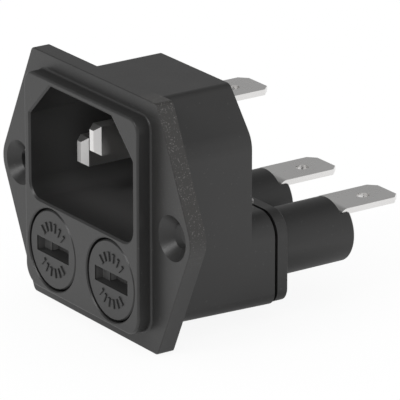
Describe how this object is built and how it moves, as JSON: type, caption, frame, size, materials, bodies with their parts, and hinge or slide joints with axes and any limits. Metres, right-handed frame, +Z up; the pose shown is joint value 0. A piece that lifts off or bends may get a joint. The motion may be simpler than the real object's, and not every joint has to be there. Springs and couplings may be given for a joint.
{
  "type": "c14 panel inlet socket",
  "caption": "Black panel-mount power inlet: recessed blade socket in a screw flange, round screwdriver-slot fuse carriers under it, fuse barrels and quick-connect tabs behind.",
  "frame": {"origin": "midway between the two panel screw holes, on the flange's rear face, where it seats on the panel", "axes": "+X to the right seen from the front, +Y backwards through the panel, +Z up towards the chamfered side of the socket; the front faces -Y"},
  "size_m": [0.0448, 0.0453, 0.0344],
  "materials": {
    "black_moulding": "fine satin moulded surface",
    "black_cover": "satin moulded surface",
    "black_carrier": "satin moulded surface",
    "plated_brass": "bright nickel or tin plate over brass",
    "spring_steel": "drawn wire",
    "fuse_glass": "clear"
  },
  "bodies": {
    "housing": {"housing": "black_moulding", "rear_cover": "black_cover", "earth_pin": "plated_brass", "earth_tab": "plated_brass", "line_pin": "plated_brass", "line_link": "plated_brass", "line_tab": "plated_brass", "line_contact": "plated_brass", "line_rivet": "plated_brass", "line_spring": "spring_steel", "neutral_pin": "plated_brass", "neutral_link": "plated_brass", "neutral_tab": "plated_brass", "neutral_contact": "plated_brass", "neutral_rivet": "plated_brass", "neutral_spring": "spring_steel"},
    "line_carrier": {"line_carrier": "black_carrier", "line_ferrule": "plated_brass", "line_fuse_front_cap": "plated_brass", "line_fuse_rear_cap": "plated_brass", "line_fuse_glass": "fuse_glass", "line_fuse_wire": "plated_brass"},
    "neutral_carrier": {"neutral_carrier": "black_carrier", "neutral_ferrule": "plated_brass", "neutral_fuse_front_cap": "plated_brass", "neutral_fuse_rear_cap": "plated_brass", "neutral_fuse_glass": "fuse_glass", "neutral_fuse_wire": "plated_brass"}
  },
  "joints": [
    {"name": "line_carrier_turn", "type": "hinge", "parent": "housing", "child": "line_carrier", "pos_m": [0.007, 0, -0.00875], "axis": [0, -1, 0], "range_deg": [0, 60]},
    {"name": "neutral_carrier_turn", "type": "hinge", "parent": "housing", "child": "neutral_carrier", "pos_m": [-0.007, 0, -0.00875], "axis": [0, -1, 0], "range_deg": [0, 60]}
  ]
}
